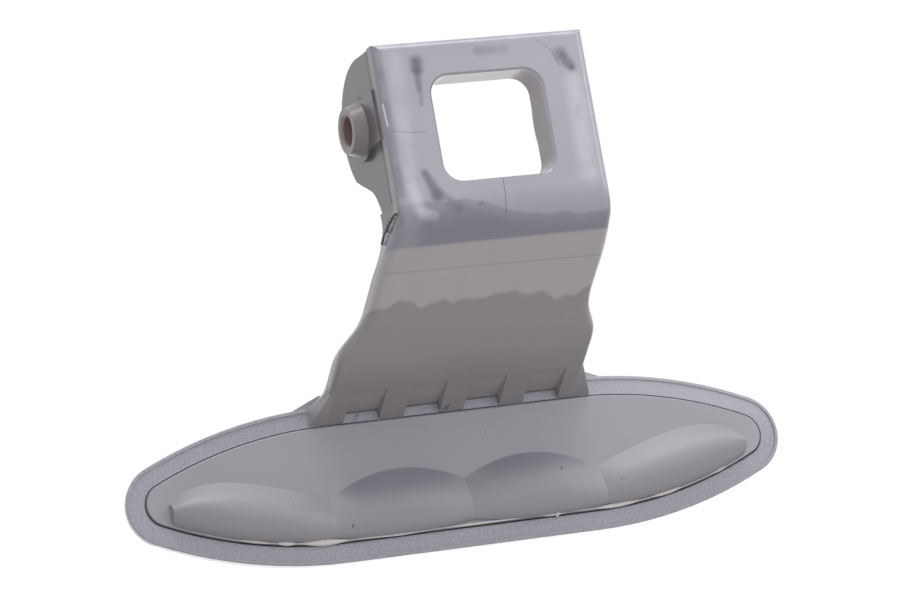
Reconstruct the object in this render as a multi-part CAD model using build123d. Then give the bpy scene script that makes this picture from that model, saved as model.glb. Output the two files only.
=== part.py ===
"""Washing machine door handle, back side towards -Y.

The origin is the middle of the pivot bore. +X runs along the bore, +Y is depth away from the
hand, and +Z is up from the grip paddle to the pivot housing. All sizes are in millimetres.
"""
from build123d import *
from math import acos, cos, hypot, radians, sin, sqrt, tan
import os

# Pivot housing
housing_top = 12.2        # top face above the bore
plate_front = 13.4        # plate's front face in front of the bore, at the bore's height
plate_tilt = 2.5          # degrees, the upper end leans towards the hand
plate_wall = 3.0
plate_half = 21.0         # half width of the plate
cheek_step = 0.5          # how far each cheek lies inside the plate's edge
plate_lap = 3.6           # depth of the plate's edge before that step
cheek_wall = 2.2
cheek_radius = 12.9       # round back of the cheeks
cheek_lead = 2.2          # its middle in front of the bore
cheek_start_angle = 97.0  # degrees from the back, where the round back meets the top
cheek_end_angle = -37.0   # and where it ends
heel_drop = 13.6          # the small heel under it
heel_depth = -0.5
throat_drop = 18.4        # where the cheeks run out into the neck
throat_depth = -2.2
top_wall = 2.5
edge_radius = 1.5         # rounding of the front edges

# Pivot bosses
bore_radius = 2.75
bore_chamfer = 0.45
pad_height = 0.9
pad_radius = 6.0
pad_bar = 9.6             # width of the bar that joins the pad to the plate's edge
boss_length = 2.4
boss_base_radius = 5.2
boss_end_radius = 4.3

# Latch window
window_width = 22.2
window_height = 20.0
window_drop = 4.7         # middle of the window below the bore
window_radius = 3.6
window_depth = 7.1
window_rim = 1.9          # wall of the collar behind the plate
window_edge = 0.4         # bevel round its front edge

# Neck
bend_drop = 21.7          # corner between plate and neck, below the bore
bend_radius = 8.0
neck_depth = 3.0          # front face to the back of the side flanges
neck_wall = 2.3
waist_half = 22.7         # half width of the neck's upper part
neck_half = 26.3          # half width of the neck's lower part
widen_start = 17.0        # drop below the bore where the sides begin to widen to the waist
widen_share = 0.24        # share of the drop from bend to feet at which they reach it
flare_start_share = 0.373  # shares between which they widen to the lower part
flare_end_share = 0.658
root_rise = 3.3           # height above the paddle where the outer feet begin to spread
root_step = 1.2           # how far the spread lies behind the neck's front, at its upper end
root_run = 18.0           # its length along the neck
root_height = 6.5         # its height above the rim, which falls to nothing at its outer edge
foot_reach = 2.9          # how far the outer feet spread beyond the neck
web_reach = 3.6           # thin webs beside the outer feet, along the paddle's upper edge
web_rise = 2.2
web_depth = 3.0

# Feet
gap_count = 2             # gaps on each side of the middle foot
gap_width = 7.1           # at the floor of a gap
gap_pitch = 12.4
gap_depth = 1.65          # at the rim, from where a gap runs out up the neck
gap_length = 9.0          # along the neck
gap_draft = 8.0           # degrees that the sides of a gap lean outwards

# Grip paddle
paddle_back = 34.1        # rim face behind the bore
paddle_drop = 59.5        # middle of the oval below the bore
paddle_length = 135.2
paddle_height = 30.4
side_straight = 26.0      # half of the straight stretch on each long side
end_radius = 8.0          # round ends, which wide shoulders join to the straight sides
paddle_depth = 9.8        # rim face to the middle of the bowed front
paddle_bow = 420.0        # radius of the bowed front
wall_draft = 7.0          # degrees that the side wall leans inwards
front_radius = 4.0
paddle_wall = 2.4
rim_width = 3.7
lip_width = 0.7           # raised lip along the rim's outer edge
lip_height = 0.25
back_chamfer = 0.2        # bevel of that lip

# Grip insert
insert_clearance = 0.15
insert_thickness = 2.4
insert_seat = 2.0         # depth of its seat in the rim
seat_ledge = 1.5          # width of the ledge that carries it
insert_edge = 0.3         # bevel round its face
pocket_height = 3.6       # slots behind the lobes
pocket_wall = 2.5         # material left between a slot and the lobe's crest
pocket_rise = 5.8         # middle of a slot above the insert's lower edge
pocket_places = [(14.0, 13.0), (43.5, 10.5)]  # distance from the middle, and length
lobe_sink = 0.6           # how far a lobe reaches into the insert's plate
lobe_height = 4.2
lobe_wall_run = 4.1       # how far the steep lower wall of a full lobe leans
# Stations across half of the insert: distance from the middle, space left to the insert's
# lower edge, reach of the lobe from there to its far side, and height.
inner_lobe = [(0.0, 1.3, 8.5, 2.1), (14.0, 0.3, 12.9, 4.2), (28.0, 1.0, 7.8, 2.1)]
outer_lobe = [(28.0, 1.0, 7.8, 2.1), (37.0, 0.7, 10.5, 3.8), (46.0, 0.7, 11.0, 4.2),
              (54.0, 0.7, 8.6, 3.8), (59.3, 1.2, 3.6, 2.3)]

# Shape of a lobe's crest: share of its height, and place from the crest towards its far side,
# or towards its near side where that is negative.
lobe_curve = [(0.6, 0.6), (0.97, 0.15), (0.93, -0.18)]
lobe_crest_limit = 0.46   # the crest never lies further across a lobe than this share

# Places worked out from the sizes above
far = 200.0               # past every face
past = 1.0                # how far a cut runs past the face that it opens
near = 0.05               # how near to a face an edge counts as lying on it
flange_wall = cheek_wall + cheek_step
lean = tan(radians(plate_tilt))
cheek_middle_angle = (cheek_start_angle + cheek_end_angle) / 2
rim_top = paddle_height / 2 - paddle_drop
foot_z = rim_top - rim_width
foot_spread = neck_half + foot_reach
neck_drop = -foot_z - bend_drop
widen_end = bend_drop + widen_share * neck_drop
flare_start = bend_drop + flare_start_share * neck_drop
flare_end = bend_drop + flare_end_share * neck_drop
oval_reach = paddle_length / 2 - side_straight
shoulder_radius = ((paddle_height / 2) ** 2 + oval_reach ** 2 - 2 * end_radius * oval_reach) / (
    paddle_height - 2 * end_radius)


def front_at(z):
    """Depth of the plate's front face at a height."""
    return -plate_front - z * lean


bend = (front_at(-bend_drop), -bend_drop)
neck_length = hypot(paddle_back - bend[0], foot_z - bend[1])
along = ((paddle_back - bend[0]) / neck_length, (foot_z - bend[1]) / neck_length)


def neck_point(distance, depth):
    """Point of the side view, a distance down the neck and a depth behind its front face."""
    return (bend[0] + along[0] * distance - along[1] * depth,
            bend[1] + along[1] * distance + along[0] * depth)


def neck_line(depth, y):
    """Point where a line at that depth in the neck reaches a given Y."""
    start = neck_point(0, depth)
    return (y, start[1] + (y - start[0]) * along[1] / along[0])


def neck_corner(wall, depth):
    """Corner where a wall's back in the plate meets a line at a depth in the neck."""
    start = neck_point(0, depth)
    slope = along[1] / along[0]
    z = (start[1] + slope * (wall - plate_front - start[0])) / (1 + slope * lean)
    return (front_at(z) + wall, z)


def from_side(*edges):
    """Closed outline of (y, z) points as a face in the YZ plane."""
    return Plane.YZ * make_face(edges)


def across(face, half):
    """Side view made solid, to the same width on both sides."""
    return extrude(face, amount=half, both=True)


def round_corner(face, point, radius):
    """Round the one corner of a side view that lies at a point."""
    corner = face.vertices().sort_by_distance(Vector(0, *point))[0]
    return fillet(corner, radius)


def oval_arcs(inset):
    """Half length and height, shoulder and end radius, and their joint, for an inset oval."""
    half_length = paddle_length / 2 - inset
    half_height = paddle_height / 2 - inset
    shoulder, end = shoulder_radius - inset, end_radius - inset
    angle = acos((shoulder - half_height) / (shoulder - end))
    return half_length, half_height, shoulder, end, angle


def oval(inset):
    """Flat oval in the XZ plane: straight long sides, wide shoulders and round ends."""
    half_length, half_height, shoulder, end, angle = oval_arcs(inset)

    def on_shoulder(turn):
        return side_straight + shoulder * sin(turn), half_height - shoulder * (1 - cos(turn))

    middle, joint = on_shoulder(angle / 2), on_shoulder(angle)
    edges = []
    for sz in (1, -1):
        edges.append(Line((-side_straight, sz * half_height), (side_straight, sz * half_height)))
        for sx in (1, -1):
            edges.append(ThreePointArc((sx * side_straight, sz * half_height),
                                       (sx * middle[0], sz * middle[1]),
                                       (sx * joint[0], sz * joint[1])))
    for sx in (1, -1):
        edges.append(ThreePointArc((sx * joint[0], joint[1]), (sx * half_length, 0),
                                   (sx * joint[0], -joint[1])))
    return make_face(edges)


def oval_edge(inset, x):
    """Height of the inset oval's lower edge above or below the bore, at a distance X."""
    half_length, half_height, shoulder, end, angle = oval_arcs(inset)
    if x <= side_straight:
        half = half_height
    elif x <= side_straight + shoulder * sin(angle):
        half = half_height - shoulder + sqrt(shoulder ** 2 - (x - side_straight) ** 2)
    else:
        half = sqrt(max(end ** 2 - (x - half_length + end) ** 2, 0))
    return -paddle_drop - half


def oval_prism(inset, start, stop, draft=0):
    """Oval made solid between two depths."""
    base = Plane((0, start, -paddle_drop), x_dir=(1, 0, 0), z_dir=(0, 1, 0))
    return extrude(base * oval(inset), amount=stop - start, taper=draft)


def bow(wall):
    """Round body whose surface runs a wall's thickness inside the paddle's bowed front."""
    middle = (0, paddle_back + paddle_depth - paddle_bow, -paddle_drop)
    return Pos(*middle) * Cylinder(paddle_bow - wall, far)


def arm_profile():
    """Outer side view of the housing and the neck."""
    root_y = paddle_back + insert_seat
    arc_start, arc_middle, arc_end = [
        (cheek_radius * cos(radians(angle)) - cheek_lead, cheek_radius * sin(radians(angle)))
        for angle in (cheek_start_angle, cheek_middle_angle, cheek_end_angle)]
    heel, throat = (heel_depth, -heel_drop), (throat_depth, -throat_drop)
    skirt = neck_line(neck_depth, throat_depth + neck_depth)
    top_front = (front_at(housing_top), housing_top)
    face = from_side(
        Line(top_front, bend),
        Line(bend, (paddle_back, foot_z)),
        Line((paddle_back, foot_z), (root_y, foot_z)),
        Line((root_y, foot_z), neck_line(neck_depth, root_y)),
        Line(neck_line(neck_depth, root_y), skirt),
        Spline([skirt, throat, heel, arc_end],
               tangents=[(-along[0], -along[1]), (1.0, 0.6)]),
        ThreePointArc(arc_end, arc_middle, arc_start),
        Line(arc_start, top_front))
    return round_corner(face, bend, bend_radius)


def hollow_profile():
    """Side view of the space behind the plate's and the neck's walls."""
    inner_top = (front_at(housing_top - top_wall) + plate_wall, housing_top - top_wall)
    inner_bend = neck_corner(plate_wall, neck_wall)
    last_y = paddle_back - neck_depth
    face = from_side(
        Line(inner_top, inner_bend),
        Line(inner_bend, neck_line(neck_wall, last_y)),
        Line(neck_line(neck_wall, last_y), (last_y, inner_top[1])),
        Line((last_y, inner_top[1]), inner_top))
    return round_corner(face, inner_bend, bend_radius - neck_wall)


def arm_width(inset):
    """Outline of housing and neck from the back, extruded through their whole depth."""
    upper, waist = plate_half - inset, waist_half - inset
    lower = neck_half - inset
    top = max(housing_top, cheek_radius) + past
    edges = []
    for side in (1, -1):
        edges += [
            Line((side * upper, top), (side * upper, -widen_start)),
            Spline([(side * upper, -widen_start), (side * waist, -widen_end)],
                   tangents=[(0, -1), (0, -1)]),
            Line((side * waist, -widen_end), (side * waist, -flare_start)),
            Spline([(side * waist, -flare_start), (side * lower, -flare_end)],
                   tangents=[(0, -1), (0, -1)]),
            Line((side * lower, -flare_end), (side * lower, foot_z))]
    edges.append(Line((-upper, top), (upper, top)))
    edges.append(Line((-lower, foot_z), (lower, foot_z)))
    return extrude(Plane.XZ * make_face(edges), amount=far, both=True)


def front_edges(body):
    """Edges round the front of the housing and down both sides of the neck."""
    def on_front(edge):
        place = edge @ 0.5
        on_plate = abs(place.Y - front_at(place.Z)) < near
        depth = (place.Z - bend[1]) * along[0] - (place.Y - bend[0]) * along[1]
        on_neck = abs(depth) < near
        in_bend = hypot(place.Y - bend[0], place.Z - bend[1]) < bend_radius / 2
        side = abs(place.X) > plate_half - near
        top = place.Z > housing_top - near
        return (side and (on_plate or on_neck or in_bend)) or (top and on_plate)
    return body.edges().filter_by(on_front)


def cheek_step_cut(side):
    """Thin slice off the outside of a cheek, behind the plate's own edge."""
    high = max(housing_top, cheek_radius) + past
    low = -widen_start
    face = from_side(
        Line((front_at(high) + plate_lap, high), (front_at(low) + plate_lap, low)),
        Line((front_at(low) + plate_lap, low), (far, low)),
        Line((far, low), (far, high)),
        Line((far, high), (front_at(high) + plate_lap, high)))
    cut = Pos(plate_half - cheek_step, 0, 0) * extrude(face, amount=cheek_step + past)
    return cut if side > 0 else mirror(cut, about=Plane.YZ)


def foot_gaps():
    """Sloping recesses between the feet, deepest and open at the paddle."""
    start, end = neck_point(neck_length - gap_length, 0), neck_point(neck_length, gap_depth)
    plane = Plane((0, *start), x_dir=(1, 0, 0), z_dir=(0, end[1] - start[1], start[0] - end[0]))
    length = gap_length + 2 * gap_depth
    cuts = Part()
    for k in range(gap_count):
        for side in (1, -1):
            place = Pos(side * gap_pitch * (k + 0.5), -length / 2)
            outline = plane * place * Rectangle(gap_width, length)
            cuts += extrude(outline, amount=gap_depth + past, taper=-gap_draft)
    return cuts


def window():
    """Hole through the plate with rounded corners, and the collar behind it."""
    plane = Plane((0, front_at(-window_drop), -window_drop), x_dir=(1, 0, 0),
                  z_dir=(0, cos(radians(plate_tilt)), sin(radians(plate_tilt))))
    hole = extrude(plane * RectangleRounded(window_width, window_height, window_radius),
                   amount=2 * window_depth, both=True)
    rim = RectangleRounded(window_width + 2 * window_rim, window_height + 2 * window_rim,
                           window_radius + window_rim)
    return hole, extrude(plane.offset(plate_wall / 2) * rim, amount=window_depth - plate_wall / 2)


def window_edges(body):
    """Edges round the window's opening in the plate's front face."""
    def on_opening(edge):
        place = edge @ 0.5
        inside = abs(place.X) < window_width / 2 + window_rim
        low = place.Z > -window_drop - window_height / 2 - window_rim
        high = place.Z < -window_drop + window_height / 2 + window_rim
        return inside and low and high and abs(place.Y - front_at(place.Z)) < near
    return body.edges().filter_by(on_opening)


def boss(side):
    """Pivot boss on the outside of one cheek: a pad that runs to the plate, then a cone."""
    root = plate_half - cheek_step - cheek_wall / 2
    plane = Plane((side * root, 0, 0), x_dir=(0, 1, 0), z_dir=(side, 0, 0))
    bar = plate_front - plate_lap
    pad = Circle(pad_radius) + Pos(-bar / 2, 0) * Rectangle(bar, pad_bar)
    thickness = cheek_wall / 2 + pad_height
    cone = Cone(boss_base_radius, boss_end_radius, boss_length,
                align=(Align.CENTER, Align.CENTER, Align.MIN))
    return extrude(plane * pad, amount=thickness) + plane.offset(thickness) * cone


def bore():
    """Pivot bore through both bosses, with a chamfer at each mouth."""
    end = plate_half - cheek_step + pad_height + boss_length
    cut = Plane.YZ * Cylinder(bore_radius, 2 * (end + past))
    mouth = Cone(bore_radius, bore_radius + 2 * bore_chamfer, 2 * bore_chamfer)
    for side in (1, -1):
        cut += Plane((side * end, 0, 0), x_dir=(0, 1, 0), z_dir=(side, 0, 0)) * mouth
    return cut


def arm():
    """Pivot housing and neck: plate, cheeks and side flanges round an open back."""
    body = across(arm_profile(), far / 2) & arm_width(0)
    body = fillet(front_edges(body), edge_radius)
    body -= across(hollow_profile(), far / 2) & arm_width(flange_wall)
    for side in (1, -1):
        body -= cheek_step_cut(side)
    hole, collar = window()
    body += collar
    body -= hole
    body = chamfer(window_edges(body), window_edge)
    body -= foot_gaps()
    for side in (1, -1):
        body += boss(side)
    return body - bore()


def paddle():
    """Oval shell of the grip: bowed front, side wall, flat rim and the insert's seat."""
    stop = paddle_back + paddle_depth
    body = oval_prism(0, paddle_back - lip_height, stop, wall_draft) & bow(0)
    body = chamfer(body.faces().sort_by(Axis.Y)[0].edges(), back_chamfer)
    front = body.faces().filter_by(GeomType.CYLINDER).sort_by(Axis.Y)[-1]
    body = fillet(front.edges(), front_radius)
    seat_y = paddle_back + insert_seat
    body -= oval_prism(lip_width, paddle_back - past, paddle_back)
    body -= oval_prism(rim_width, paddle_back - past, seat_y)
    hollow = oval_prism(rim_width + seat_ledge, seat_y - past, stop)
    return body - (hollow & bow(paddle_wall))


def root_spread(side):
    """Side of an outer foot: a gusset that slopes outwards from the neck's edge to the rim."""
    inner, start = neck_half - flange_wall / 2, rim_top + root_rise
    root_y, top = paddle_back + insert_seat, neck_length - root_run
    from_back = Plane.XZ * make_face([
        Line((side * inner, start), (side * neck_half, start)),
        Spline([(side * neck_half, start), (side * foot_spread, rim_top)],
               tangents=[(0, -1), (side, -0.5)]),
        Line((side * foot_spread, rim_top), (side * foot_spread, foot_z)),
        Line((side * foot_spread, foot_z), (side * inner, foot_z)),
        Line((side * inner, foot_z), (side * inner, start))])
    from_above = Plane.XY * make_face(Polyline(
        (side * inner, paddle_back - root_height), (side * neck_half, paddle_back - root_height),
        (side * foot_spread, paddle_back), (side * foot_spread, root_y),
        (side * inner, root_y), close=True))
    profile = from_side(Polyline(
        neck_point(top, root_step), (paddle_back, foot_z), (root_y, foot_z),
        neck_line(neck_depth, root_y), neck_point(top, neck_depth), close=True))
    body = across(profile, far / 2) & extrude(from_back, amount=far, both=True)
    return body & extrude(from_above, amount=far, both=True)


def root_webs():
    """Thin webs that run from the outer feet along the paddle's upper edge."""
    webs = Part()
    for side in (1, -1):
        inner = neck_half - flange_wall
        outline = Polyline((side * inner, rim_top + web_rise),
                           (side * neck_half, rim_top + web_rise),
                           (side * (foot_spread + web_reach), rim_top - web_rise / 4),
                           (side * inner, foot_z), close=True)
        face = Plane((0, paddle_back, 0), x_dir=(1, 0, 0), z_dir=(0, -1, 0)) * make_face(outline)
        webs += extrude(face, amount=-web_depth)
    return webs


def lever():
    """The painted moulding: housing, neck and paddle in one piece."""
    return arm() + root_spread(1) + root_spread(-1) + root_webs() + paddle()


def lobe_section(station):
    """Side view of a lobe at one station."""
    x, gap, reach, height = station
    face_y = paddle_back + insert_seat - insert_thickness
    low = oval_edge(rim_width + insert_clearance, x) + gap
    high = low + reach
    crest = low + min(lobe_wall_run * height / lobe_height, lobe_crest_limit * reach)
    sunk = face_y + lobe_sink
    points = [(sunk, high + lobe_sink)]
    for share, place in lobe_curve:
        run = high - crest if place > 0 else crest - low
        points.append((face_y - share * height, crest + place * run))
    points.append((sunk, low - lobe_sink / 3))
    outline = Spline(points)
    return Pos(x, 0, 0) * from_side(outline, Line(outline @ 1, outline @ 0))


def lobes():
    """All four lobes as one body, each lofted through its stations, meeting in creases."""
    half = Part()
    for stations in (inner_lobe, outer_lobe):
        half += loft([lobe_section(station) for station in stations])
    return half + mirror(half, about=Plane.YZ)


def pockets():
    """Slots cut into the insert's back, one behind each lobe, so that no wall is thick."""
    back = paddle_back + insert_seat
    depth = insert_thickness + lobe_height - pocket_wall
    inset = rim_width + insert_clearance
    cuts = Part()
    for x, length in pocket_places:
        middle = oval_edge(inset, x) + pocket_rise
        slope = (oval_edge(inset, x + past) - oval_edge(inset, x - past)) / (2 * past)
        for side in (1, -1):
            plane = Plane((side * x, back, middle), x_dir=(1, 0, side * slope), z_dir=(0, -1, 0))
            cuts += extrude(plane * SlotOverall(length, pocket_height), amount=depth)
    return cuts


def insert():
    """Finger grip set into the paddle's back: thin plate with four lobes, hollow behind."""
    face_y = paddle_back + insert_seat - insert_thickness
    body = oval_prism(rim_width + insert_clearance, face_y, paddle_back + insert_seat)
    body = chamfer(body.faces().sort_by(Axis.Y)[0].edges(), insert_edge)
    return body + lobes() - pockets()


os.makedirs("parts", exist_ok=True)
for name, make in (("lever", lever), ("grip_insert", insert)):
    solid = make()
    solid.label = name
    export_step(solid, os.path.join("parts", name + ".step"))
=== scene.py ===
"""Washing machine door handle: finishes, scar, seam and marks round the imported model, in metres."""

from math import acos, cos, pi, sin, sqrt

import bpy
from mathutils import Matrix, Vector


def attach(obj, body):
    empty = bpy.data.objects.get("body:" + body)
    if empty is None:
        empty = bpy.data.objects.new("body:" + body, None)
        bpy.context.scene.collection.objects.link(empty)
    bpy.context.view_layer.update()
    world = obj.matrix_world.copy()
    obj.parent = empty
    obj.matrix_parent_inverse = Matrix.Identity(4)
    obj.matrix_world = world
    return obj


MM = 0.001

# The same places as in the part, in millimetres
RIM_Y = 34.1              # flat rim round the grip
FACE_Y = 33.7             # face of the grip insert
PADDLE_DROP = 59.5
PADDLE_LENGTH = 135.2
PADDLE_HEIGHT = 30.4
SIDE_STRAIGHT = 26.0
END_RADIUS = 8.0
SEAM_INSET = 3.7
PLATE_LEAN = 0.0437       # the plate's depth gained per height
STEP_DEPTH = 9.8          # from the bore's axis forward to the step between cheek and plate edge
BEND = (-12.45, -21.7)    # where the plate's front meets the neck's, as (y, z)
NECK_SLOPE = (0.871, -0.492)    # direction down the neck, as (y, z)

# Soft edges of the painted zones in millimetres: where each one starts and where it is full
RIM_NEAR = (RIM_Y - 0.35, RIM_Y - 0.2)
RIM_FAR = (RIM_Y + 0.35, RIM_Y + 0.1)
# Edges of the painted light on the rim's upper right
RIM_PAINTED_LIGHT_X = (10.0, 45.0)
RIM_PAINTED_LIGHT_Z = (-62.0, -52.0)
PLATE_BACK = (-11.0, -11.4)
NECK_TOP = (-17.5, -18.5)
NECK_SKIN = (2.1, 1.5)
NECK_FAR = (RIM_Y + 0.3, RIM_Y + 0.1)
NECK_MARKS_FAR = (RIM_Y + 0.5, RIM_Y + 0.2)
# Edges of the painted warm light and painted shade on the neck, and of the painted dark reflection of
# the band in the bend
WARM_TOP = (-24.6, -25.2)
SHADE_TOP = (-32.2, -32.9)
BAND_FOOT = (-25.2, -24.6)
BAND_TOP = (0.0, 0.6)
BAND_DEEPER = (0.0, 3.0)
BAND_LEFT = (-18.6, -15.5)
BAND_SLANT = (-9.0, 6.0)
# Edges of the painted light in the gaps between the feet, and of the painted shadow at their lower ends
RECESS_SKIN = (0.1, 0.3)
RECESS_TOP = (-43.0, -44.0)
RECESS_SIDE = (24.0, 23.5)
RECESS_FOOT = (RIM_Y - 1.0, RIM_Y - 0.6)
WINDOW_SIDE = (11.9, 11.6)
WINDOW_FOOT = (-16.0, -15.6)
WINDOW_TOP = (6.3, 5.9)
WINDOW_FRONT = (-12.7, -12.0)
WINDOW_BACK = (0.0, -1.0)
CHEEK_SIDE = (20.2, 20.45)
CHEEK_SKIN = (20.8, 20.6)
# Edges of the painted shade on the cheeks
CHEEK_FRONT = (0.0, 0.4)
CHEEK_FOOT = (-23.0, -20.5)
EDGE_BACK = (0.0, -0.2)
EDGE_FRONT = (-3.2, -2.4)
EDGE_FOOT = (-24.0, -20.0)
# Edges of the painted shadow in the groove beside the plate's edge
GROOVE_BACK = (2.6, 1.8)
GROOVE_FRONT = (-0.2, 0.0)
GROOVE_LINE = (0.3, 0.1)
GROOVE_FOOT = (-21.0, -18.0)
BOSS_EDGE = (5.4, 5.1)
BORE_EDGE = (3.3, 3.05)
LOBE_EDGE = (FACE_Y - 0.04, FACE_Y - 0.22)
# Edges of the painted shade in the grip's seam, darker low down
GRIP_EDGE = (FACE_Y + 0.06, FACE_Y + 0.2)
GRIP_EDGE_DOWN = (-50.0, -66.0)
# Edges of the painted light along the grip
GRIP_PAINTED_LIGHT_X = (-10.0, 60.0)

BAND_TOP_Z = (-17.9, -21.6)     # upper edge of the band in the bend, left and right of its slant
WAVE_HEIGHT = 8.0               # of the wavy edges across the neck

# Colours of the finishes
PAINT_LOW, PAINT_HIGH = (0.41, 0.40, 0.44), (0.455, 0.445, 0.48)
# Painted warm light on the neck, painted shade lower on it, and the painted dark reflection in the bend
NECK_PAINTED_LIGHT = (0.47, 0.45, 0.44)
NECK_SHADE = (0.27, 0.255, 0.255)
BEND_SHADE = (0.26, 0.25, 0.30)
# Painted light on the floors of the gaps between the feet
RECESS_PAINTED_LIGHT = (0.44, 0.415, 0.41)
RIM_LOW, RIM_HIGH = (0.23, 0.228, 0.26), (0.48, 0.477, 0.515)
# Painted light on the rim's upper right
RIM_PAINTED_LIGHT = (0.56, 0.55, 0.58)
WINDOW_WALL = (0.34, 0.30, 0.285)
BOSS_WARM = (0.235, 0.208, 0.204)
BORE_BROWN = (0.32, 0.235, 0.215)
# Painted shade on the cheeks
CHEEK_SHADE = (0.158, 0.146, 0.152)
EDGE_WARM = (0.26, 0.238, 0.235)
EDGE_SHADE = (0.27, 0.265, 0.31)
# Painted shadow in narrow gaps: the groove beside the plate's edge and the lower ends of the gaps
# between the feet
CREVICE_SHADOW = (0.05, 0.04, 0.04)
GRIP_LOW, GRIP_HIGH = (0.315, 0.31, 0.325), (0.345, 0.34, 0.355)
# Painted light on the grip's face
GRIP_PAINTED_LIGHT = (0.42, 0.415, 0.435)
LOBE_SHADE = (0.20, 0.195, 0.225)
# Dark marks and grain, and the painted dark reflections on the plate
DARK_MARKS_AND_REFLECTIONS = (0.13, 0.12, 0.16)
# Painted shade in the grip's seam, and dark specks
SPECK_AND_SEAM_SHADE = (0.035, 0.03, 0.035)
GLINT = (0.80, 0.79, 0.84)
FLASH_LOW, FLASH_HIGH = (0.60, 0.57, 0.55), (0.78, 0.75, 0.72)
TORN_LOW, TORN_HIGH = (0.035, 0.03, 0.035), (0.20, 0.17, 0.19)
FLOOR_SHADE = (0.78, 0.76, 0.73)

# Painted shade on the plate's edges, painted highlights and painted dark reflections on the pivot plate:
# start and end as (x, z) in millimetres, half width at each of them, strength and tint
PLATE_PAINTED_SHADE_AND_SHEEN = [
    ((-20.3, 11.0), (-20.3, -16.0), 1.3, 1.3, 0.75, EDGE_SHADE),
    ((-19.8, 11.9), (20.0, 11.9), 1.3, 1.3, 0.75, EDGE_SHADE),
    ((-17.2, 9.0), (-17.9, -12.5), 2.6, 2.1, 0.24, GLINT),
    ((-18.0, -15.0), (-17.4, -18.8), 1.9, 1.9, 0.4, GLINT),
    ((-16.6, -20.0), (-14.4, -20.6), 1.7, 1.5, 0.5, GLINT),
    ((17.5, 2.0), (17.2, -15.0), 3.0, 3.4, 0.35, GLINT),
    ((-13.2, 8.3), (-13.2, 7.0), 2.1, 2.0, 0.8, DARK_MARKS_AND_REFLECTIONS),
    ((-13.3, 6.4), (-13.5, 0.2), 1.3, 0.7, 0.6, DARK_MARKS_AND_REFLECTIONS),
    ((15.6, 7.3), (17.4, 5.0), 2.3, 1.5, 0.9, DARK_MARKS_AND_REFLECTIONS),
    ((-0.6, 9.4), (4.6, 9.2), 1.5, 1.4, 0.35, DARK_MARKS_AND_REFLECTIONS),
    ((-15.2, -12.6), (-13.4, -17.0), 1.2, 2.0, 0.7, DARK_MARKS_AND_REFLECTIONS),
    ((-13.4, -17.0), (-9.6, -19.4), 2.0, 1.5, 0.55, DARK_MARKS_AND_REFLECTIONS)]

# Fine marks of the plate and the neck, and two thin painted highlights: start, end, half width, strength
# and tint
FINE_MARKS_AND_GLINTS = [
    ((-20.74, 1.0), (-20.6, -3.2), 0.16, 0.9, GLINT),
    ((-0.1, -14.6), (-0.3, -21.6), 0.13, 0.7, DARK_MARKS_AND_REFLECTIONS),
    ((-5.5, -19.5), (-4.8, -19.0), 0.2, 0.5, DARK_MARKS_AND_REFLECTIONS),
    ((-20.2, -4.3), (-17.0, -4.9), 0.11, 0.4, DARK_MARKS_AND_REFLECTIONS),
    ((-17.0, -4.9), (-13.4, -5.0), 0.11, 0.4, DARK_MARKS_AND_REFLECTIONS),
    ((13.4, -22.0), (15.4, -22.3), 0.22, 0.7, GLINT),
    ((11.6, 10.4), (14.0, 8.4), 0.14, 0.4, DARK_MARKS_AND_REFLECTIONS),
    ((14.0, 8.4), (15.2, 5.2), 0.14, 0.4, DARK_MARKS_AND_REFLECTIONS)]
NECK_MARKS = [
    ((-22.0, -28.0), (22.5, -28.4), 0.14, 0.25, DARK_MARKS_AND_REFLECTIONS),
    ((-19.9, -46.9), (-19.0, -46.5), 0.15, 0.9, DARK_MARKS_AND_REFLECTIONS),
    ((-19.0, -46.5), (-19.4, -47.3), 0.15, 0.9, DARK_MARKS_AND_REFLECTIONS),
    ((-19.4, -47.3), (-20.2, -47.6), 0.15, 0.9, DARK_MARKS_AND_REFLECTIONS),
    ((-1.5, -47.5), (-0.9, -47.1), 0.3, 0.9, DARK_MARKS_AND_REFLECTIONS)]

# Grip insert: start and end of the shades on the lobes, and specks with their half width
LOBE_SHADES = [((-23.0, -60.2), (-5.0, -59.4)), ((6.0, -59.2), (24.0, -59.2))]
LOBE_SHADE_HALF = 4.8
GRIP_SPECKS = [((19.1, -62.3), 0.28), ((-25.1, -68.4), 0.25), ((-36.0, -61.0), 0.12),
               ((6.0, -53.0), 0.12), ((31.0, -66.0), 0.14)]

# Crescents of flash along the lower seam: start and end in x, and height against the tallest one
FLASH_CRESCENTS = [(-48.0, -40.0, 0.4), (-40.0, -35.8, 0.7), (-35.8, -25.1, 1.0), (-25.1, -8.0, 0.62),
                   (-8.0, 12.3, 0.4), (12.8, 20.2, 0.6), (17.1, 17.9, 1.3), (25.0, 36.0, 0.7),
                   (37.0, 45.0, 0.65), (50.6, 55.4, 0.5)]
FLASH_LEAST = 0.14
FLASH_TOP, FLASH_LEFT, FLASH_RIGHT = -59.8, -56.0, 60.0

# Line of the torn gate down the left edge of the bend, in millimetres
SCAR_LINE = [(-21.5, -11.0, -19.2), (-21.75, -8.6, -19.9), (-22.0, -6.6, -20.9),
             (-22.2, -4.8, -21.6), (-22.3, -3.4, -22.9)]

# Camera: its right and up directions, and its place along right, up and back in millimetres
CAMERA_RIGHT = (0.9243, -0.3348, -0.1833)
CAMERA_UP = (0.0982, -0.2570, 0.9614)
CAMERA_PLACE = (-2.80, -33.517, 749.2)
CAMERA_LENS, CAMERA_SENSOR = 160.0, 36.0

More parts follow.
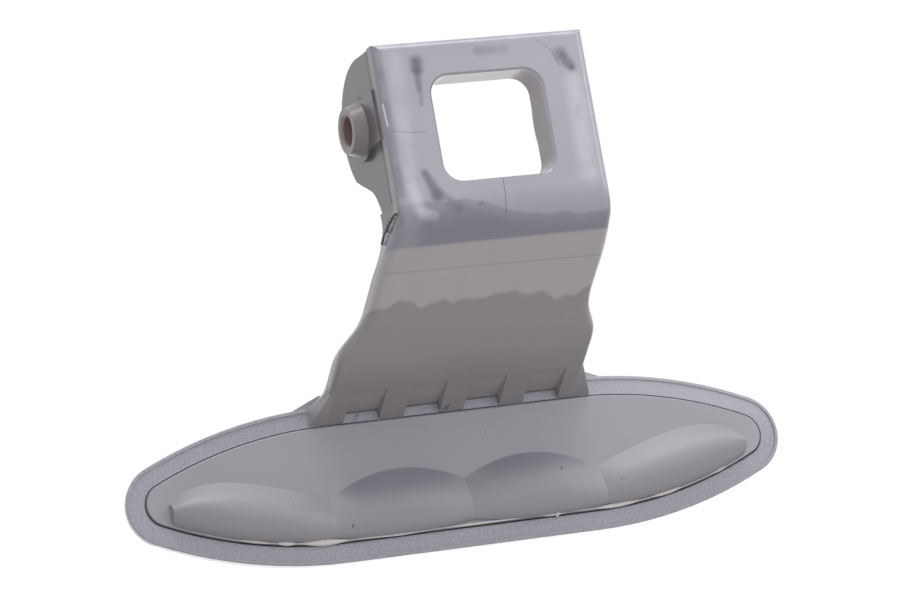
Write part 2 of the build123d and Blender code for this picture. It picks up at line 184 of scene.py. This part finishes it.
# Lamps: name, place, target, side length, power and colour, in metres and watts
LAMPS = [("top_softbox", (0.10, -0.26, 0.80), (0, 0.02, -0.04), 0.6, 3.6, (1, 1, 1)),
         ("right_softbox", (0.40, -0.36, 0.08), (0, 0.02, -0.04), 0.3, 0.38, (1.0, 0.99, 0.97)),
         ("back_softbox", (0.45, 0.95, 0.10), (0, 0.01, -0.03), 0.8, 1.6, (1, 1, 1))]

# Soft dome from straight down to straight up: place on the ramp and light. The second one holds
# on the right in front, where it is dark low down.
DOME = [(0.0, (0.34, 0.325, 0.31)), (0.2, (0.40, 0.385, 0.38)), (0.38, (0.46, 0.45, 0.47)),
        (0.47, (0.62, 0.61, 0.67)), (0.56, (0.86, 0.85, 0.92)), (0.75, (0.84, 0.83, 0.89)),
        (1.0, (0.84, 0.84, 0.87))]
DARK_DOME = [(0.0, (0.30, 0.285, 0.27)), (0.15, (0.24, 0.23, 0.24)), (0.24, (0.09, 0.085, 0.13)),
             (0.38, (0.13, 0.125, 0.17)), (0.46, (0.66, 0.65, 0.72)), (0.56, (0.86, 0.85, 0.92)),
             (0.75, (0.84, 0.83, 0.89)), (1.0, (0.84, 0.84, 0.87))]


def oval_points(inset, y, count):
    """Points round the grip's oval at a depth, the same shape as in the part."""
    half_length = PADDLE_LENGTH / 2 - inset
    half_height = PADDLE_HEIGHT / 2 - inset
    reach, end = half_length - SIDE_STRAIGHT, END_RADIUS - inset
    shoulder = (half_height ** 2 + reach ** 2 - 2 * end * reach) / (2 * (half_height - end))
    turn = acos((shoulder - half_height) / (shoulder - end))
    joint = SIDE_STRAIGHT + shoulder * sin(turn)
    points = []
    for k in range(count):
        angle = 2 * pi * k / count
        x = half_length * cos(angle)
        far = abs(x)
        if far <= SIDE_STRAIGHT:
            half = half_height
        elif far <= joint:
            half = half_height - shoulder + sqrt(shoulder ** 2 - (far - SIDE_STRAIGHT) ** 2)
        else:
            half = sqrt(max(end ** 2 - (far - half_length + end) ** 2, 0.0))
        side = 1 if sin(angle) >= 0 else -1
        points.append(Vector((x, y, -PADDLE_DROP + side * half)) * MM)
    return points


class Tree:
    """Short way to write a node tree."""

    def __init__(self, group):
        self.group = group

    def link(self, source, target):
        self.group.links.new(source, target)

    def feed(self, socket, value):
        """Links a socket to another one, or sets it to a constant."""
        if isinstance(value, bpy.types.NodeSocket):
            self.link(value, socket)
        else:
            socket.default_value = value

    def node(self, kind, inputs=None, **settings):
        made = self.group.nodes.new(kind)
        for key, value in settings.items():
            setattr(made, key, value)
        for key, value in (inputs or {}).items():
            self.feed(made.inputs[key], value)
        return made

    def math(self, operation, first, second=0.0):
        made = self.node("ShaderNodeMath", {0: first, 1: second}, operation=operation)
        return made.outputs[0]


class Finish(Tree):
    """Short way to write a material from its object coordinates."""

    def __init__(self, name):
        self.material = bpy.data.materials.new(name)
        self.material.use_nodes = True
        super().__init__(self.material.node_tree)
        self.shader = self.group.nodes["Principled BSDF"]
        self.place = self.node("ShaderNodeTexCoord").outputs["Object"]

    def surface(self, name, value):
        """Links a value into the shader."""
        self.link(value, self.shader.inputs[name])

    def axis(self, name):
        split = self.node("ShaderNodeSeparateXYZ", {0: self.place})
        return split.outputs[name]

    def noise(self, per_mm, detail=2.0, rough=0.5, stretch=(1, 1, 1)):
        moved = self.node("ShaderNodeMapping", {"Vector": self.place, "Scale": stretch})
        made = self.node("ShaderNodeTexNoise", {"Vector": moved.outputs[0], "Scale": per_mm / MM,
                                                "Detail": detail, "Roughness": rough})
        return made.outputs["Fac"]

    def remap(self, value, low, high, start=0.0, stop=1.0, smooth=True):
        kind = "SMOOTHSTEP" if smooth else "LINEAR"
        made = self.node("ShaderNodeMapRange", {"Value": value, "From Min": low, "From Max": high,
                                                "To Min": start, "To Max": stop},
                         interpolation_type=kind)
        return made.outputs["Result"]

    def fade(self, distance, edge, start=0.0, stop=1.0):
        """Soft change over an edge, which is given as two places in millimetres."""
        return self.remap(distance, edge[0] * MM, edge[1] * MM, start, stop)

    def product(self, first, *others):
        for other in others:
            first = self.math("MULTIPLY", first, other)
        return first

    def mix(self, share, first, second):
        made = self.node("ShaderNodeMix", {"Factor": share}, data_type="RGBA")
        for socket, value in ((made.inputs[6], first), (made.inputs[7], second)):
            constant = isinstance(value, tuple)
            self.feed(socket, (*value, 1.0) if constant else value)
        return made.outputs[2]

    def layer(self, colour, share, amount, tint):
        """Colour with a tint laid over it where a share says so."""
        return self.mix(self.product(share, amount), colour, tint)

    def stroke(self, start, end, start_half, end_half=None, soft=0.6):
        """Soft line between two (x, z) places: 1 along its middle, 0 outside its half width."""
        first = Vector((start[0], 0, start[1])) * MM
        run = Vector((end[0] - start[0], 0, end[1] - start[1])) * MM
        flat = self.node("ShaderNodeVectorMath", {0: self.place, 1: (1, 0, 1)}, operation="MULTIPLY")
        from_start = self.node("ShaderNodeVectorMath", {0: flat.outputs[0], 1: first},
                               operation="SUBTRACT")
        share = self.node("ShaderNodeVectorMath", {0: from_start.outputs[0],
                                                   1: run / run.length_squared},
                          operation="DOT_PRODUCT")
        share = self.node("ShaderNodeClamp", {"Value": share.outputs["Value"]}).outputs[0]
        nearest = self.node("ShaderNodeVectorMath", {0: run, "Scale": share}, operation="SCALE")
        off = self.node("ShaderNodeVectorMath", {0: from_start.outputs[0], 1: nearest.outputs[0]},
                        operation="DISTANCE")
        half = self.remap(share, 0.0, 1.0, start_half * MM, (end_half or start_half) * MM, False)
        return self.remap(self.math("DIVIDE", off.outputs["Value"], half), 1.0, 1.0 - soft)

    def bump(self, height, strength, distance, normal=None):
        made = self.node("ShaderNodeBump", {"Height": height, "Strength": strength,
                                            "Distance": distance * MM})
        if normal is not None:
            self.link(normal, made.inputs["Normal"])
        return made.outputs["Normal"]


class SilverPaint(Finish):
    """The lever's paint: where its zones lie, and the tints, painted light and shade, and marks laid on
    each of them.
    """

    def __init__(self, name):
        super().__init__(name)
        self.cloud = self.noise(0.045, 2.0, 0.5)
        self.flake = self.noise(3.4, 1.0, 0.5)
        self.grain = self.noise(2.7, 3.0, 0.7)
        self.x, self.y, self.z = self.axis("X"), self.axis("Y"), self.axis("Z")
        self.far = self.math("ABSOLUTE", self.x)
        self.on_rim = self.product(self.fade(self.y, RIM_NEAR), self.fade(self.y, RIM_FAR))
        self.on_plate = self.fade(self.y, PLATE_BACK)
        self.depth = self.behind_neck_front()
        self.on_neck = self.product(self.fade(self.depth, NECK_SKIN), self.fade(self.z, NECK_TOP),
                                    self.fade(self.y, NECK_FAR))
        self.outside = self.fade(self.far, CHEEK_SIDE)
        self.ring = self.from_bore_axis()
        self.on_boss = self.product(self.fade(self.ring, BOSS_EDGE), self.outside)

    def behind_neck_front(self):
        """Distance into the neck's wall from its front face."""
        rise = self.math("ADD", self.z, -BEND[1] * MM)
        back = self.math("ADD", self.y, -BEND[0] * MM)
        return self.math("ADD", self.product(rise, NECK_SLOPE[0]), self.product(back, -NECK_SLOPE[1]))

    def from_bore_axis(self):
        flat = self.node("ShaderNodeVectorMath", {0: self.place, 1: (0, 1, 1)}, operation="MULTIPLY")
        length = self.node("ShaderNodeVectorMath", {0: flat.outputs[0]}, operation="LENGTH")
        return length.outputs["Value"]

    def neck_zones(self, colour):
        """Painted warm light below the bend, painted shade lower down with a wavy edge, and a painted
        dark reflection as the band in the bend.
        """
        wave = self.math("SUBTRACT", self.noise(0.095, 2.0, 0.5, (1, 0, 0)), 0.5)
        wave = self.product(wave, WAVE_HEIGHT * MM)
        # Painted warm light below the bend
        painted_light_below_bend = self.product(self.on_neck, self.fade(self.z, WARM_TOP))
        colour = self.layer(colour, painted_light_below_bend, 0.7, NECK_PAINTED_LIGHT)
        # Painted shade low on the neck
        shaded = self.product(self.on_neck, self.fade(self.math("ADD", self.z, wave), SHADE_TOP))
        colour = self.layer(colour, shaded, 0.75, NECK_SHADE)
        # Painted dark reflection as the band in the bend
        upper_edge = self.fade(self.x, BAND_SLANT, BAND_TOP_Z[0] * MM, BAND_TOP_Z[1] * MM)
        below_edge = self.math("SUBTRACT", upper_edge, self.math("ADD", self.z, self.product(wave, 0.5)))
        band = self.product(self.fade(below_edge, BAND_TOP), self.fade(self.z, BAND_FOOT),
                            self.math("MAXIMUM", self.on_neck, self.on_plate),
                            self.fade(self.x, BAND_LEFT, 0.6, 1.0))
        colour = self.layer(colour, band, self.fade(below_edge, BAND_DEEPER, 0.55, 1.0), BEND_SHADE)
        grainy = self.product(self.on_neck, self.remap(self.grain, 0.5, 0.75))
        return self.layer(colour, grainy, 0.16, DARK_MARKS_AND_REFLECTIONS)

    def foot_recesses(self, colour):
        """Painted light on the floor of the gaps between the feet, and painted shadow at their lower
        ends.
        """
        recess = self.product(self.on_neck, self.fade(self.depth, RECESS_SKIN),
                              self.fade(self.z, RECESS_TOP))
        # Painted light on the floor of the gaps
        colour = self.layer(colour, recess, 0.45, RECESS_PAINTED_LIGHT)
        # Painted shadow at the gaps' lower ends
        recess_end_shadow = self.product(recess, self.fade(self.far, RECESS_SIDE),
                                  self.fade(self.y, RECESS_FOOT))
        return self.layer(colour, recess_end_shadow, 0.65, CREVICE_SHADOW)

    def grainy_rim(self, colour):
        speckle = self.mix(self.remap(self.grain, 0.25, 0.75, smooth=False), RIM_LOW, RIM_HIGH)
        # Painted light on the rim's upper right
        painted_light_corner = self.product(self.fade(self.x, RIM_PAINTED_LIGHT_X), self.fade(self.z, RIM_PAINTED_LIGHT_Z))
        speckle = self.layer(speckle, painted_light_corner, 0.4, RIM_PAINTED_LIGHT)
        return self.mix(self.on_rim, colour, speckle)

    def window_wall(self, colour):
        upright = self.product(self.fade(self.z, WINDOW_FOOT), self.fade(self.z, WINDOW_TOP))
        deep = self.product(self.fade(self.y, WINDOW_FRONT), self.fade(self.y, WINDOW_BACK))
        in_window = self.product(self.fade(self.far, WINDOW_SIDE), upright, deep)
        return self.layer(colour, in_window, 0.7, WINDOW_WALL)

    def cheeks(self, colour):
        """Warm bosses, painted shade on the cheeks, the plate's edge before them and a painted shadow in
        the groove between.
        """
        colour = self.layer(colour, self.on_boss, 0.85, BOSS_WARM)
        step = self.math("ADD", self.y, self.product(self.z, PLATE_LEAN))
        step = self.math("ADD", step, STEP_DEPTH * MM)
        # Painted shade on the cheeks round the bosses
        behind = self.product(self.outside, self.fade(step, CHEEK_FRONT), self.fade(self.z, CHEEK_FOOT))
        shaded_cheek = self.math("SUBTRACT", behind, self.product(behind, self.on_boss))
        colour = self.layer(colour, shaded_cheek, 0.95, CHEEK_SHADE)
        edge_wall = self.product(self.fade(step, EDGE_BACK), self.fade(step, EDGE_FRONT),
                                 self.outside, self.fade(self.z, EDGE_FOOT))
        colour = self.layer(colour, edge_wall, 0.75, EDGE_WARM)
        # Painted shadow in the groove beside the plate's edge
        on_cheek = self.product(self.outside, self.fade(self.far, CHEEK_SKIN))
        past_step = self.product(self.fade(step, GROOVE_BACK), self.fade(step, GROOVE_FRONT))
        line = self.product(self.fade(self.math("ABSOLUTE", step), GROOVE_LINE), self.outside, 0.7)
        groove_shadow = self.math("MAXIMUM", self.product(past_step, on_cheek), line)
        groove_shadow = self.product(groove_shadow, self.fade(self.z, GROOVE_FOOT))
        return self.layer(colour, groove_shadow, 0.75, CREVICE_SHADOW)

    def bore_wall(self, colour):
        return self.layer(colour, self.fade(self.ring, BORE_EDGE), 0.85, BORE_BROWN)

    def plate_sheen_and_marks(self, colour):
        """Painted shade on the plate's edges, painted highlights and ragged painted dark reflections,
        then fine marks and thin painted highlights.
        """
        ragged = self.remap(self.noise(0.25, 2.0, 0.55), 0.30, 0.60, 0.45, 1.0)
        # Painted shade, painted highlights and painted dark reflections on the plate
        for start, end, half, half_end, amount, tint in PLATE_PAINTED_SHADE_AND_SHEEN:
            mark_and_sheen = self.product(self.stroke(start, end, half, half_end, 0.9), self.on_plate, ragged)
            colour = self.layer(colour, mark_and_sheen, amount, tint)
        for start, end, half, amount, tint in FINE_MARKS_AND_GLINTS:
            mark_and_sheen = self.product(self.stroke(start, end, half), self.on_plate)
            colour = self.layer(colour, mark_and_sheen, amount, tint)
        return colour

    def neck_marks(self, colour):
        near = self.product(self.fade(self.y, NECK_MARKS_FAR),
                            self.math("MAXIMUM", self.on_neck, self.on_rim))
        for start, end, half, amount, tint in NECK_MARKS:
            colour = self.layer(colour, self.product(self.stroke(start, end, half), near), amount, tint)
        return colour


def silver_paint():
    """Semi-gloss silver paint: soft cloudiness, fine flake, a grainy rim, moulding marks, and painted
    light and shade.
    """
    paint = SilverPaint("silver_paint_finish")
    colour = paint.mix(paint.remap(paint.cloud, 0.15, 0.85), PAINT_LOW, PAINT_HIGH)
    for lay in (paint.neck_zones, paint.foot_recesses, paint.grainy_rim, paint.window_wall,
                paint.cheeks, paint.bore_wall, paint.plate_sheen_and_marks, paint.neck_marks):
        colour = lay(colour)
    paint.surface("Base Color", colour)
    paint.surface("Metallic", paint.remap(paint.on_boss, 0.0, 1.0, 0.18, 0.05))
    rough = paint.remap(paint.cloud, 0.15, 0.85, 0.27, 0.33)
    paint.surface("Roughness", paint.math("ADD", rough, paint.product(paint.on_rim, 0.2)))
    paint.shader.inputs["Coat Weight"].default_value = 0.15
    paint.shader.inputs["Coat Roughness"].default_value = 0.12
    skin = paint.bump(paint.flake, 0.10, 0.03, paint.bump(paint.cloud, 0.2, 0.3))
    paint.surface("Normal", paint.bump(paint.product(paint.grain, paint.on_rim), 0.5, 0.06, skin))
    return paint.material


def grip_plastic():
    """Satin grey plastic of the finger grip: a fine even grain, a few specks, and painted light and
    shade.
    """
    grip = Finish("grip_plastic_finish")
    cloud = grip.noise(0.05, 2.0, 0.5)
    grain = grip.noise(3.6, 2.0, 0.55)
    x, y, z = grip.axis("X"), grip.axis("Y"), grip.axis("Z")
    colour = grip.mix(grip.remap(cloud, 0.15, 0.85), GRIP_LOW, GRIP_HIGH)
    on_lobe = grip.fade(y, LOBE_EDGE)
    # Painted light growing along x, little of it on the lobes
    painted_light_end = grip.product(grip.fade(x, GRIP_PAINTED_LIGHT_X, 0.25, 0.6),
                             grip.remap(on_lobe, 0.0, 1.0, 1.0, 0.1))
    colour = grip.layer(colour, painted_light_end, 1.0, GRIP_PAINTED_LIGHT)
    for start, end in LOBE_SHADES:
        shade = grip.product(grip.stroke(start, end, LOBE_SHADE_HALF, soft=0.95), on_lobe)
        colour = grip.layer(colour, shade, 0.5, LOBE_SHADE)
    # Painted shade in the seam, darker low down
    edge = grip.product(grip.fade(y, GRIP_EDGE), grip.fade(z, GRIP_EDGE_DOWN, 0.15, 0.95))
    colour = grip.mix(edge, colour, SPECK_AND_SEAM_SHADE)
    for place, half in GRIP_SPECKS:
        near_by = (place[0] + 0.3 * half, place[1] + half)
        colour = grip.layer(colour, grip.stroke(place, near_by, half), 0.8, SPECK_AND_SEAM_SHADE)
    grip.surface("Base Color", colour)
    grip.surface("Roughness", grip.remap(grain, 0.2, 0.8, 0.40, 0.50))
    grip.surface("Normal", grip.bump(grain, 0.15, 0.04, grip.bump(cloud, 0.15, 0.2)))
    return grip.material


def flash_plastic():
    """Pale flash that was squeezed out along the lower seam."""
    flash = Finish("seam_flash_finish")
    flash.surface("Base Color", flash.mix(flash.noise(0.4, 2.0, 0.6), FLASH_LOW, FLASH_HIGH))
    flash.shader.inputs["Roughness"].default_value = 0.35
    return flash.material


def torn_plastic():
    """Dark torn plastic of the gate scar."""
    torn = Finish("torn_plastic_finish")
    fibre = torn.noise(1.6, 3.0, 0.7, (1.0, 1.0, 0.3))
    torn.surface("Base Color", torn.mix(torn.remap(fibre, 0.35, 0.65), TORN_LOW, TORN_HIGH))
    torn.surface("Roughness", torn.remap(fibre, 0.3, 0.7, 0.45, 0.7))
    torn.surface("Normal", torn.bump(fibre, 0.5, 0.08))
    return torn.material


def pale_floor():
    """Plain pale finish of the floor."""
    pale = Finish("pale_floor_finish")
    low = tuple(0.97 * v for v in FLOOR_SHADE)
    pale.surface("Base Color", pale.mix(pale.noise(0.004, 2.0, 0.5), low, FLOOR_SHADE))
    pale.shader.inputs["Roughness"].default_value = 0.9
    return pale.material


class PathTree(Tree):
    """Geometry nodes that turn a path into a dressed mesh, with named sizes as inputs."""

    def __init__(self, name, values):
        super().__init__(bpy.data.node_groups.new(name, "GeometryNodeTree"))
        face = self.group.interface
        face.new_socket("Geometry", in_out="INPUT", socket_type="NodeSocketGeometry")
        face.new_socket("Geometry", in_out="OUTPUT", socket_type="NodeSocketGeometry")
        self.sizes = {}
        for key, value in values.items():
            kind = "NodeSocketInt" if isinstance(value, int) else "NodeSocketFloat"
            self.sizes[key] = face.new_socket(key, in_out="INPUT", socket_type=kind)
            self.sizes[key].default_value = value
        self.given = self.node("NodeGroupInput").outputs

    def tube(self, curve, radius, corners, caps=False):
        """Round tube along a curve, with or without closed ends."""
        ring = self.node("GeometryNodeCurvePrimitiveCircle", {"Resolution": corners, "Radius": 1.0})
        made = self.node("GeometryNodeCurveToMesh", {"Curve": curve, "Scale": radius,
                                                     "Profile Curve": ring.outputs[0],
                                                     "Fill Caps": caps})
        return made.outputs[0]

    def finish(self, mesh, material):
        real = self.node("GeometryNodeRealizeInstances", {"Geometry": mesh})
        dressed = self.node("GeometryNodeSetMaterial", {"Geometry": real.outputs[0],
                                                        "Material": material})
        self.link(dressed.outputs[0], self.node("NodeGroupOutput").inputs[0])


def torn_ridge(tree):
    """Ridge of torn skin along the path, lumpy by a noise on its radius."""
    fine = tree.node("GeometryNodeResampleCurve", {"Curve": tree.given["Geometry"], "Count": 60})
    where = tree.node("GeometryNodeInputPosition").outputs[0]
    lumps = tree.node("ShaderNodeTexNoise", {"Vector": where, "Scale": 900.0, "Detail": 2.0})
    swell = tree.node("ShaderNodeMapRange", {"Value": lumps.outputs["Fac"], "From Min": 0.3,
                                             "From Max": 0.7, "To Min": 0.25, "To Max": 1.0})
    radius = tree.math("MULTIPLY", tree.given["Ridge radius"], swell.outputs["Result"])
    return tree.tube(fine.outputs[0], radius, 7, caps=True)


def bent_fibre(tree):
    """One bent fibre of length 1, tapered to its tip."""
    strand = tree.node("GeometryNodeCurvePrimitiveBezierSegment",
                       {"Resolution": 5, "Start": (0, 0, 0), "Start Handle": (0, 0, 0.4),
                        "End Handle": (0.15, 0.1, 0.7), "End": (0.45, 0.2, 1.0)})
    along = tree.node("GeometryNodeSplineParameter").outputs["Factor"]
    taper = tree.node("ShaderNodeMapRange", {"Value": along, "To Min": 1.0, "To Max": 0.15})
    ratio = tree.math("DIVIDE", tree.given["Fibre radius"], tree.given["Fibre length"])
    thin = tree.math("MULTIPLY", ratio, taper.outputs["Result"])
    return tree.tube(strand.outputs[0], thin, 5, caps=True)


def fibre_tree(material):
    """Torn fibres that stand along a path, from a root to a thin tip, over a lumpy ridge."""
    tree = PathTree("torn_fibres", {"Fibres": 46, "Fibre length": 1.5 * MM, "Fibre radius": 0.13 * MM,
                                    "Ridge radius": 0.42 * MM, "Seed": 5})
    ridge = torn_ridge(tree)
    fibre = bent_fibre(tree)
    roots = tree.node("GeometryNodeResampleCurve", {"Curve": tree.given["Geometry"],
                                                    "Count": tree.given["Fibres"]})
    points = tree.node("GeometryNodeCurveToPoints", {"Curve": roots.outputs[0]}, mode="EVALUATED")
    turn = tree.node("FunctionNodeRandomValue", {"Min": (-0.9, -0.9, -3.1), "Max": (0.9, 0.9, 3.1),
                                                 "Seed": tree.given["Seed"]}, data_type="FLOAT_VECTOR")
    shortest = tree.math("MULTIPLY", tree.given["Fibre length"], 0.35)
    size = tree.node("FunctionNodeRandomValue", {2: shortest, 3: tree.given["Fibre length"],
                                                 "Seed": tree.given["Seed"]}, data_type="FLOAT")
    stand = tree.node("FunctionNodeAlignRotationToVector", {"Vector": (-0.75, -0.15, -0.65)}, axis="Z")
    spread = tree.node("FunctionNodeRotateRotation", {"Rotation": stand.outputs[0],
                                                      "Rotate By": turn.outputs["Value"]})
    placed = tree.node("GeometryNodeInstanceOnPoints",
                       {"Points": points.outputs[0], "Instance": fibre,
                        "Rotation": spread.outputs[0], "Scale": size.outputs[1]})
    both = tree.node("GeometryNodeJoinGeometry")
    tree.link(ridge, both.inputs[0])
    tree.link(placed.outputs[0], both.inputs[0])
    tree.finish(both.outputs[0], material)
    return tree


def bead_tree(material):
    """Thin moulded bead along a path, its height wavering a little."""
    tree = PathTree("seam_bead", {"Bead radius": 0.16 * MM, "Waver": 0.5, "Seed": 2.0})
    where = tree.node("GeometryNodeInputPosition").outputs[0]
    ripple = tree.node("ShaderNodeTexNoise", {"Vector": where, "W": tree.given["Seed"], "Scale": 90.0,
                                              "Detail": 1.0}, noise_dimensions="4D")
    least = tree.math("SUBTRACT", 1.0, tree.given["Waver"])
    share = tree.node("ShaderNodeMapRange", {"Value": ripple.outputs["Fac"], "From Min": 0.35,
                                             "From Max": 0.65, "To Min": least, "To Max": 1.0})
    drawn = tree.node("GeometryNodeInputRadius").outputs[0]
    radius = tree.math("MULTIPLY", tree.given["Bead radius"], drawn)
    radius = tree.math("MULTIPLY", radius, share.outputs["Result"])
    tube = tree.tube(tree.given["Geometry"], radius, 8)
    smooth = tree.node("GeometryNodeSetShadeSmooth", {"Geometry": tube})
    tree.finish(smooth.outputs[0], material)
    return tree


def flash_swell(x):
    """Share of the flash's full thickness at a place along the seam: crescents with thin joints."""
    share = FLASH_LEAST
    for start, stop, height in FLASH_CRESCENTS:
        if start < x < stop:
            share = max(share, height * sin(pi * (x - start) / (stop - start)))
    return share


def path_piece(name, points, tree, values, closed=False, swell=None):
    """Runs a tree along a path and returns the result as a plain mesh object."""
    curve = bpy.data.curves.new(name + "_path", "CURVE")
    curve.dimensions = "3D"
    spline = curve.splines.new("POLY")
    spline.points.add(len(points) - 1)
    for point, place in zip(spline.points, points):
        point.co = (*place, 1.0)
        point.radius = swell(place.x / MM) if swell else 1.0
    spline.use_cyclic_u = closed
    guide = bpy.data.objects.new(name + "_guide", curve)
    bpy.context.scene.collection.objects.link(guide)
    modifier = guide.modifiers.new("follow", "NODES")
    modifier.node_group = tree.group
    for key, value in values.items():
        modifier[tree.sizes[key].identifier] = value
    bpy.context.view_layer.update()
    made = bpy.data.meshes.new_from_object(guide.evaluated_get(bpy.context.evaluated_depsgraph_get()))
    guide.modifiers.remove(modifier)
    bpy.data.objects.remove(guide)
    piece = bpy.data.objects.new(name, made)
    bpy.context.scene.collection.objects.link(piece)
    return piece


def gate_scar(finish):
    """Torn plastic where the gate was broken off."""
    line = [Vector(place) * MM for place in SCAR_LINE]
    return path_piece("gate_scar", line, fibre_tree(finish),
                      {"Fibres": 40, "Fibre length": 1.0 * MM, "Fibre radius": 0.10 * MM,
                       "Ridge radius": 0.36 * MM, "Seed": 5})


def inner_rim_line(finish):
    """Thin raised line of the rim's inner edge."""
    line = oval_points(SEAM_INSET - 0.1, RIM_Y, 180)
    return path_piece("rim_bead", line, bead_tree(finish),
                      {"Bead radius": 0.14 * MM, "Waver": 0.5, "Seed": 2.0}, closed=True)


def lower_flash(finish):
    """Crescents of flash along the insert's lower seam."""
    line = [place for place in oval_points(SEAM_INSET + 0.55, FACE_Y - 0.1, 900)
            if place.z < FLASH_TOP * MM and FLASH_LEFT * MM < place.x < FLASH_RIGHT * MM]
    return path_piece("seam_flash", line, bead_tree(finish),
                      {"Bead radius": 0.75 * MM, "Waver": 0.25, "Seed": 4.0}, swell=flash_swell)


def photo_camera():
    """Camera at the photograph's angle, fitted to the part's measured points."""
    right = Vector(CAMERA_RIGHT)
    up = Vector(CAMERA_UP)
    back = right.cross(up).normalized()
    right = up.cross(back).normalized()
    up = back.cross(right)
    place = (CAMERA_PLACE[0] * right + CAMERA_PLACE[1] * up + CAMERA_PLACE[2] * back) * MM
    data = bpy.data.cameras.new("photo_camera")
    data.sensor_width = CAMERA_SENSOR
    data.lens = CAMERA_LENS
    data.clip_start = 0.01
    data.clip_end = 20.0
    camera = bpy.data.objects.new("photo_camera", data)
    turn = Matrix((right, up, back)).transposed().to_4x4()
    camera.matrix_world = Matrix.Translation(place) @ turn
    bpy.context.scene.collection.objects.link(camera)
    bpy.context.scene.camera = camera


def lamp(name, place, target, size, power, colour):
    """Soft square lamp that points at the part."""
    data = bpy.data.lights.new(name, "AREA")
    data.shape = "RECTANGLE"
    data.size, data.size_y = size, size
    data.energy = power
    data.color = colour
    made = bpy.data.objects.new(name, data)
    aim = (Vector(target) - Vector(place)).to_track_quat("-Z", "Y")
    made.matrix_world = Matrix.Translation(Vector(place)) @ aim.to_matrix().to_4x4()
    bpy.context.scene.collection.objects.link(made)


class World(Tree):
    """Short way to write the studio's light, which depends on the direction it comes from."""

    def __init__(self, name):
        world = bpy.data.worlds.new(name)
        bpy.context.scene.world = world
        world.use_nodes = True
        super().__init__(world.node_tree)
        self.group.nodes.clear()
        view = self.node("ShaderNodeTexCoord").outputs["Generated"]
        self.direction = self.node("ShaderNodeSeparateXYZ", {0: view}).outputs
        height = self.node("ShaderNodeMapRange", {"Value": self.direction["Z"], "From Min": -1.0})
        self.height = height.outputs["Result"]

    def ramp(self, colours):
        """Colours from straight down to straight up."""
        made = self.node("ShaderNodeValToRGB", {"Fac": self.height})
        stops = made.color_ramp.elements
        stops[0].position, stops[0].color = 0.0, (*colours[0][1], 1)
        stops[1].position, stops[1].color = 1.0, (*colours[-1][1], 1)
        for position, colour in colours[1:-1]:
            stops.new(position).color = (*colour, 1)
        return made.outputs["Color"]

    def fade(self, axis, low, high, start, stop):
        """Soft change along one axis of the direction."""
        made = self.node("ShaderNodeMapRange", {"Value": self.direction[axis], "From Min": low,
                                                "From Max": high, "To Min": start, "To Max": stop},
                         interpolation_type="SMOOTHSTEP")
        return made.outputs["Result"]


def studio_world():
    """White where the camera or a reflection looks, and a soft dome for all other light.

    The dome is strong in front, weaker behind and on the left, and dark low on the right in front.
    """
    world = World("studio")
    right_front = world.math("MULTIPLY", world.fade("X", -0.15, 0.15, 0.0, 1.0),
                             world.fade("Y", -0.05, -0.35, 0.0, 1.0))
    light = world.node("ShaderNodeMix", {"Factor": right_front, 6: world.ramp(DOME),
                                         7: world.ramp(DARK_DOME)}, data_type="RGBA")
    strength = world.math("MULTIPLY", world.fade("Y", -0.2, 0.9, 1.0, 0.7),
                          world.fade("X", -0.9, 0.1, 0.6, 1.0))
    strength = world.math("MULTIPLY", strength, world.fade("Y", -1.0, -0.55, 1.5, 1.0))
    dome = world.node("ShaderNodeBackground", {"Color": light.outputs[2], "Strength": strength})
    white = world.node("ShaderNodeBackground", {"Color": (1, 1, 1, 1), "Strength": 1.0})
    seen = world.node("ShaderNodeLightPath").outputs
    straight = world.math("MAXIMUM", seen["Is Camera Ray"], seen["Is Glossy Ray"])
    straight = world.math("MAXIMUM", straight, seen["Is Transmission Ray"])
    choice = world.node("ShaderNodeMixShader", {0: straight, 1: dome.outputs[0], 2: white.outputs[0]})
    world.node("ShaderNodeOutputWorld", {"Surface": choice.outputs[0]})


def studio_floor():
    """Plain pale round floor, low enough for the camera to look up at the handle."""
    radius, middle, height, count = 0.36, 0.15, -0.30, 96
    ring = [(radius * cos(2 * pi * k / count), middle + radius * sin(2 * pi * k / count), height)
            for k in range(count)]
    mesh = bpy.data.meshes.new("studio_floor")
    mesh.from_pydata(ring, [], [tuple(range(count))])
    floor = bpy.data.objects.new("studio_floor", mesh)
    mesh.materials.append(pale_floor())
    bpy.context.scene.collection.objects.link(floor)


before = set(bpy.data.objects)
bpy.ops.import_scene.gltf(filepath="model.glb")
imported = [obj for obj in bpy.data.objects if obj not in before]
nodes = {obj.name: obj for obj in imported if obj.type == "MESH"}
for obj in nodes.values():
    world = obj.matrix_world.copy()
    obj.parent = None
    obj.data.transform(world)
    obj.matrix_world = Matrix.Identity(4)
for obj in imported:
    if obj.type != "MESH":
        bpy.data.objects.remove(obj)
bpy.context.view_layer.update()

paint, plastic, torn = silver_paint(), grip_plastic(), torn_plastic()
for name, finish in (("lever", paint), ("grip_insert", plastic)):
    mesh = nodes[name].data
    mesh.materials.clear()
    mesh.materials.append(finish)

scar = gate_scar(torn)
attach(scar, "root")

rim_bead = inner_rim_line(paint)
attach(rim_bead, "root")

seam_flash = lower_flash(flash_plastic())
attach(seam_flash, "root")

studio_world()
studio_floor()
for row in LAMPS:
    lamp(*row)
photo_camera()
bpy.context.scene.view_settings.view_transform = "Standard"
